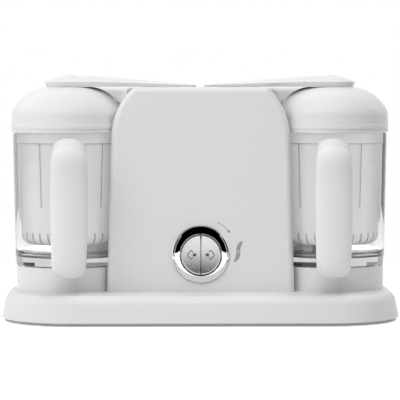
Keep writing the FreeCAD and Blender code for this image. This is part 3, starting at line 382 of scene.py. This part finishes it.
ink_grain = {"grain_size": 0.0003, "grain_depth": 0.00001, "drift_size": 0.01}
finishes = {
    "white_plastic": grained("white_plastic", white_tone, (0.34, 0.42), shade=0.015),
    "white_gloss": grained("white_gloss", white_tone, (0.15, 0.20), grain_size=0.0012, grain_depth=0.00001,
                           shade=0.01),
    "clear_plastic": clear("clear_plastic", clear_tone, (0.0, 0.03), clear_ior, clear_density),
    "basket_plastic": frosted("basket_plastic", frosted_tone, (0.34, 0.42), frosted_cover, frosted_painted_glow),
    "chrome": metal("chrome", chrome_tone, (0.04, 0.07)),
    "satin_silver": radial_brushed("satin_silver", silver_tone, (0.22, 0.34), lines=60.0, depth=0.00001),
    "grey_plastic": grained("grey_plastic", grey_tone, (0.45, 0.55)),
    "dark_plastic": grained("dark_plastic", dark_tone, (0.4, 0.5), shade=0.2),
    "foot_rubber": grained("foot_rubber", rubber_tone, (0.6, 0.75), shade=0.1),
    "belt_rubber": grained("belt_rubber", dark_tone, (0.55, 0.7), shade=0.2),
    "silicone": grained("silicone", silicone_tone, (0.4, 0.5)),
    "steel": metal("steel", steel_tone, (0.24, 0.34), grain_size=0.0015),
    "aluminium": metal("aluminium", aluminium_tone, (0.4, 0.5), grain_size=0.001, grain_depth=0.00003),
    "motor_metal": grained("motor_metal", motor_tone, (0.35, 0.45), shade=0.1),
    "circuit_board": grained("circuit_board", board_tone, (0.25, 0.35), shade=0.3),
    "brass": metal("brass", brass_tone, (0.35, 0.45), grain_size=0.0008, grain_depth=0.00002),
    "sign_ink": grained("sign_ink", sign_tone, (0.5, 0.6), **ink_grain),
    "button_sign_ink": grained("button_sign_ink", button_sign_tone, (0.45, 0.55), **ink_grain),
}
glossy_whites = [side + piece for side in ("left_", "right_") for piece in ("lid", "handle", "steam_arm")]
for row in frame["record"]["subparts"]:
    skin = nodes[row["node"]].data.materials
    skin.clear()
    skin.append(finishes["white_gloss" if row["node"] in glossy_whites else row["material_slot"]])


def pick(kind, test):
    """In edit mode, selects only the vertices, edges or faces whose middle passes a test."""
    bpy.ops.mesh.select_mode(type=kind)
    bpy.ops.mesh.select_all(action="DESELECT")
    mesh = bpy.context.object.data
    shape = bmesh.from_edit_mesh(mesh)
    for row in {"VERT": shape.verts, "EDGE": shape.edges, "FACE": shape.faces}[kind]:
        corners = [row.co] if kind == "VERT" else [v.co for v in row.verts]
        if test(sum(corners, Vector()) / len(corners)):
            row.select_set(True)
    shape.select_flush_mode()
    bmesh.update_edit_mesh(mesh)


def lay_on(piece, carrier):
    """Lays a flat sign on the face of a node in front of it, with a thin body."""
    bpy.ops.object.mode_set(mode="OBJECT")
    bpy.ops.object.transform_apply(location=True, rotation=True, scale=True)
    wrap = piece.modifiers.new("lay", "SHRINKWRAP")
    wrap.target = nodes[carrier]
    wrap.wrap_method = "PROJECT"
    wrap.use_project_y = True
    wrap.use_positive_direction = True
    wrap.use_negative_direction = True
    wrap.offset = sign_lift
    bpy.ops.object.modifier_apply(modifier=wrap.name)
    body = piece.modifiers.new("body", "SOLIDIFY")
    body.thickness = sign_depth
    body.offset = 1.0
    bpy.ops.object.modifier_apply(modifier=body.name)


def dress(name, finish, body):
    """Names the active piece, gives it its finish and sets it on its body."""
    piece = bpy.context.object
    piece.name = name
    piece.data.name = name
    piece.data.materials.clear()
    piece.data.materials.append(finishes[finish])
    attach(piece, body)


def start_flat(corners, radius, x, y, z):
    """New flat face with a few corners, upright and facing the front, in edit mode."""
    bpy.ops.object.select_all(action="DESELECT")
    bpy.ops.mesh.primitive_circle_add(vertices=corners, radius=radius, fill_type="NGON",
                                      location=(x, y, z), rotation=(math.pi / 2, 0, 0), enter_editmode=True)


def puff_sign(side, name, carrier, body):
    """Open rounded puff with a solid tail towards the split, on one button."""
    y = button_y - sign_lift
    start_flat(4, puff_half_height, side * puff_x, y, knob_z)
    bpy.ops.transform.resize(value=(puff_half_width / puff_half_height, 1, 1))
    bpy.ops.mesh.bevel(affect="VERTICES", offset=puff_round, segments=puff_round_steps)
    bpy.ops.mesh.inset(thickness=puff_stroke)
    bpy.ops.mesh.delete(type="FACE")
    bpy.ops.mesh.select_all(action="SELECT")
    bpy.ops.mesh.bisect(plane_co=(side * (puff_x - puff_open), y, knob_z), plane_no=(-side, 0, 0),
                        clear_outer=True)
    bpy.ops.mesh.select_all(action="DESELECT")
    bpy.ops.mesh.primitive_plane_add(size=1, location=(side * puff_tail_x, y, knob_z),
                                     rotation=(math.pi / 2, 0, 0))
    bpy.ops.transform.resize(value=(puff_tail[0], 1, puff_tail[1]))
    bpy.ops.mesh.bevel(affect="VERTICES", offset=puff_tail_round, segments=puff_tail_steps)
    lay_on(bpy.context.object, carrier)
    dress(name, "button_sign_ink", body)


def turn_sign():
    """Thin arrow round the knob's axis, clockwise, the way that the knob turns."""
    y = panel_y - sign_lift
    hub = Vector((0, y, knob_z))
    start = hub + arrow_radius * Vector((math.cos(arrow_from), 0, math.sin(arrow_from)))
    bpy.ops.object.select_all(action="DESELECT")
    bpy.ops.mesh.primitive_plane_add(size=sign_stroke, location=start, enter_editmode=True,
                                     rotation=(math.pi / 2, math.pi / 2 - arrow_from, 0))
    along = Vector((math.sin(arrow_from), 0, -math.cos(arrow_from)))
    into = bpy.context.object.matrix_world
    pick("EDGE", lambda spot: (into @ spot - start).dot(along) > sign_stroke / 4)
    bpy.ops.mesh.spin(steps=arrow_steps, angle=arrow_sweep, center=hub, axis=(0, -1, 0))
    bpy.ops.mesh.extrude_region_move()
    bpy.ops.transform.resize(value=[arrow_head_width / sign_stroke] * 3)
    ahead = arrow_from - arrow_sweep
    tip = arrow_head * Vector((math.sin(ahead), 0, -math.cos(ahead)))
    bpy.ops.mesh.extrude_region_move(TRANSFORM_OT_translate={"value": tip})
    bpy.ops.mesh.merge(type="CENTER")
    lay_on(bpy.context.object, "front_panel")
    dress("turn_sign", "sign_ink", "base")


def blade_sign():
    """Two swept wings on a small hub, beside the knob."""
    y = panel_y - sign_lift
    centre = Vector((blade_sign_x, y, knob_z + blade_sign_z))
    start_flat(4, blade_sign_hub[0] / math.sqrt(2), *centre)
    bpy.ops.transform.rotate(value=math.pi / 4, orient_axis="Y", center_override=centre)
    bpy.ops.transform.resize(value=(1, 1, blade_sign_hub[1] / blade_sign_hub[0]))
    for side in (1, -1):
        root = centre + Vector((0, 0, side * (blade_sign_hub[1] / 2 + blade_sign_gap)))
        bpy.ops.mesh.select_all(action="DESELECT")
        bpy.ops.mesh.primitive_plane_add(size=blade_sign_hub[0], location=root,
                                         rotation=(math.pi / 2, 0, 0))
        bpy.ops.transform.resize(value=(1, 1, 0))
        bpy.ops.mesh.remove_doubles(threshold=sign_lift)
        turn = root + Vector((side * blade_sign_bend, 0, 0))
        step = blade_sign_sweep / (len(blade_sign_widths) - 1)
        for width, last in zip(blade_sign_widths[1:], blade_sign_widths):
            bpy.ops.mesh.extrude_region_move()
            bpy.ops.transform.rotate(value=-step, orient_axis="Y", center_override=turn)
            bpy.ops.transform.resize(value=[width / last] * 3)
    lay_on(bpy.context.object, "front_panel")
    dress("blade_sign", "sign_ink", "base")


def handle_grip(side, name, node, body):
    """Smooth C-shaped handle, drawn out ring by ring and trimmed to the bowl's wall."""
    bpy.ops.object.select_all(action="DESELECT")
    reach, height, tilt, width, depth = handle_stations[0]
    spot = Vector((side * bowl_x, -reach, height))
    bpy.ops.mesh.primitive_circle_add(vertices=handle_sides, radius=1, fill_type="NGON",
                                      location=spot, rotation=(math.pi / 2, 0, 0), enter_editmode=True)
    bpy.ops.transform.resize(value=(width, 1, depth), center_override=spot)
    bpy.ops.transform.rotate(value=-math.radians(tilt), orient_axis="X", center_override=spot)
    for station in handle_stations[1:]:
        bpy.ops.mesh.extrude_region_move()
        bpy.ops.transform.rotate(value=math.radians(tilt), orient_axis="X", center_override=spot)
        bpy.ops.transform.resize(value=(station[3] / width, 1, station[4] / depth), center_override=spot)
        reach, height, tilt, width, depth = station
        step = Vector((side * bowl_x, -reach, height)) - spot
        bpy.ops.transform.translate(value=step)
        spot += step
        bpy.ops.transform.rotate(value=-math.radians(tilt), orient_axis="X", center_override=spot)
    bpy.ops.mesh.select_all(action="SELECT")
    bpy.ops.transform.rotate(value=side * handle_turn, orient_axis="Z",
                             center_override=(side * bowl_x, 0, 0))
    bpy.ops.mesh.normals_make_consistent()
    bpy.ops.object.mode_set(mode="OBJECT")
    bpy.ops.object.transform_apply(location=True, rotation=True, scale=True)
    piece = bpy.context.object
    soften = piece.modifiers.new("soften", "SUBSURF")
    soften.levels = handle_softening
    bpy.ops.object.modifier_apply(modifier=soften.name)
    bpy.ops.mesh.primitive_cone_add(vertices=wall_sides, radius1=bowl_foot_radius + handle_gap,
                                    radius2=bowl_rim_radius + handle_gap, depth=bowl_rim_z - bowl_foot_z,
                                    location=(side * bowl_x, 0, middle(bowl_foot_z, bowl_rim_z)))
    wall = bpy.context.object
    bpy.context.view_layer.objects.active = piece
    trim = piece.modifiers.new("trim", "BOOLEAN")
    trim.object = wall
    trim.operation = "DIFFERENCE"
    trim.solver = "EXACT"
    bpy.ops.object.modifier_apply(modifier=trim.name)
    bpy.data.objects.remove(wall)
    piece.select_set(True)
    bpy.ops.object.shade_smooth_by_angle(angle=handle_crease)
    dress(name, "white_gloss", body)
    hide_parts(node)


def level_mark(number):
    """One raised bar of the level scale on the right bowl, bent round the wall."""
    z = mark_low_z + number * mark_pitch
    share = (z - bowl_foot_z) / (bowl_rim_z - bowl_foot_z)
    wall = bowl_foot_radius + share * (bowl_rim_radius - bowl_foot_radius)
    sweep = short_mark if number % 2 else long_mark
    bpy.ops.object.select_all(action="DESELECT")
    bpy.ops.mesh.primitive_plane_add(size=1, location=(bowl_x + wall, 0, z), rotation=(math.pi / 2, 0, 0),
                                     enter_editmode=True)
    bpy.ops.transform.resize(value=(mark_proud + mark_sink, 1, mark_height))
    bpy.ops.transform.translate(value=((mark_proud - mark_sink) / 2, 0, 0))
    bpy.ops.transform.rotate(value=-sweep / 2, orient_axis="Z", center_override=(bowl_x, 0, z))
    bpy.ops.mesh.bevel(affect="VERTICES", offset=mark_round, segments=2)
    bpy.ops.mesh.extrude_region()
    bpy.ops.mesh.spin(steps=mark_steps, angle=sweep, center=(bowl_x, 0, z), axis=(0, 0, 1))
    bpy.ops.mesh.select_all(action="SELECT")
    bpy.ops.mesh.remove_doubles(threshold=sign_lift / 10)
    bpy.ops.mesh.normals_make_consistent()
    bpy.ops.object.mode_set(mode="OBJECT")
    bpy.ops.object.transform_apply(location=True, rotation=True, scale=True)
    dress("level_mark_" + str(number + 1), "clear_plastic", "right_jug")


def white_backdrop_strength(tree, seen, lit):
    """One value for the camera, mirrors and glass, and another for the light that the backdrop gives."""
    path = node_of(tree, "ShaderNodeLightPath")
    first = node_of(tree, "ShaderNodeMath", operation="MAXIMUM")
    wire(tree, path.outputs["Is Camera Ray"], first.inputs[0])
    wire(tree, path.outputs["Is Glossy Ray"], first.inputs[1])
    either = node_of(tree, "ShaderNodeMath", operation="MAXIMUM")
    wire(tree, first.outputs[0], either.inputs[0])
    wire(tree, path.outputs["Is Transmission Ray"], either.inputs[1])
    strength = node_of(tree, "ShaderNodeMapRange")
    strength.inputs["To Min"].default_value = lit
    strength.inputs["To Max"].default_value = seen
    wire(tree, either.outputs[0], strength.inputs["Value"])
    return strength.outputs["Result"]


def studio():
    world = bpy.data.worlds.new("studio")
    bpy.context.scene.world = world
    world.use_nodes = True
    tree = world.node_tree
    sky = tree.nodes["Background"]
    sky.inputs["Color"].default_value = (1, 1, 1, 1)
    wire(tree, white_backdrop_strength(tree, 1.0, ambient_light), sky.inputs["Strength"])
    for name, (place, size, watts) in lamps.items():
        lamp = bpy.data.lights.new(name, "AREA")
        lamp.size = size
        lamp.energy = watts
        holder = bpy.data.objects.new(name, lamp)
        holder.location = place
        aim = Vector(lamp_aim) - Vector(place)
        holder.rotation_euler = aim.to_track_quat("-Z", "Y").to_euler()
        holder.visible_glossy = False
        holder.visible_transmission = False
        bpy.context.scene.collection.objects.link(holder)


def floor():
    bpy.ops.mesh.primitive_plane_add(size=floor_size, location=(0, floor_back - floor_size / 2, 0))
    ground = bpy.context.object
    ground.name = "floor"
    made, tree, surface = new_material("white_floor")
    surface.inputs["Base Color"].default_value = (*floor_tone, 1)
    surface.inputs["Roughness"].default_value = floor_roughness
    surface.inputs["Emission Color"].default_value = (1, 1, 1, 1)
    wire(tree, white_backdrop_strength(tree, floor_glow, 0.0), surface.inputs["Emission Strength"])
    ground.data.materials.append(made)


def hide_flag(flag, shine, **seen_by):
    """Dark stage panel that only the named kinds of ray meet."""
    made, _, surface = new_material(flag.name)
    surface.inputs["Base Color"].default_value = (0, 0, 0, 1)
    surface.inputs["Specular IOR Level"].default_value = 0.0
    surface.inputs["Emission Color"].default_value = (1, 1, 1, 1)
    surface.inputs["Emission Strength"].default_value = shine
    flag.data.materials.append(made)
    for ray in ("camera", "diffuse", "glossy", "transmission", "volume_scatter", "shadow"):
        setattr(flag, "visible_" + ray, seen_by.get(ray, False))


def flags():
    """Black panels over and round the front for the mirror finishes, and two behind for the clear edges."""
    bpy.ops.object.select_all(action="DESELECT")
    bpy.ops.mesh.primitive_cube_add(size=1, location=flag_centre, enter_editmode=True)
    bpy.ops.transform.resize(value=flag_size)
    # The box stays open below and behind
    pick("FACE", lambda spot: spot.z < -flag_size[2] / 4 or spot.y > flag_size[1] / 4)
    bpy.ops.mesh.delete(type="FACE")
    bpy.ops.object.mode_set(mode="OBJECT")
    bpy.context.object.name = "mirror_flag"
    hide_flag(bpy.context.object, 0.0, glossy=True)
    for side, shine in edge_flag_shine.items():
        bpy.ops.object.select_all(action="DESELECT")
        spot = (side * middle(*edge_flag_x), edge_flag_y, middle(*edge_flag_z))
        bpy.ops.mesh.primitive_plane_add(size=1, location=spot, rotation=(math.pi / 2, 0, 0))
        flag = bpy.context.object
        flag.scale = (edge_flag_x[1] - edge_flag_x[0], edge_flag_z[1] - edge_flag_z[0], 1)
        flag.name = "edge_flag_left" if side < 0 else "edge_flag_right"
        hide_flag(flag, shine, transmission=True)


def camera():
    lens = bpy.data.cameras.new("camera")
    lens.lens = camera_lens
    holder = bpy.data.objects.new("camera", lens)
    holder.location = camera_place
    holder.rotation_euler = (camera_pitch, 0, camera_yaw)
    bpy.context.scene.collection.objects.link(holder)
    bpy.context.scene.camera = holder


bpy.ops.object.select_all(action="DESELECT")
puff_sign(-1, "left_puff_sign", "left_button", "left_push")
puff_sign(1, "right_puff_sign", "right_button", "right_push")
turn_sign()
blade_sign()
handle_grip(-1, "left_grip", "left_handle", "left_jug")
handle_grip(1, "right_grip", "right_handle", "right_jug")
for number in range(mark_count):
    level_mark(number)
studio()
floor()
flags()
camera()
bpy.context.scene.view_settings.view_transform = "Standard"
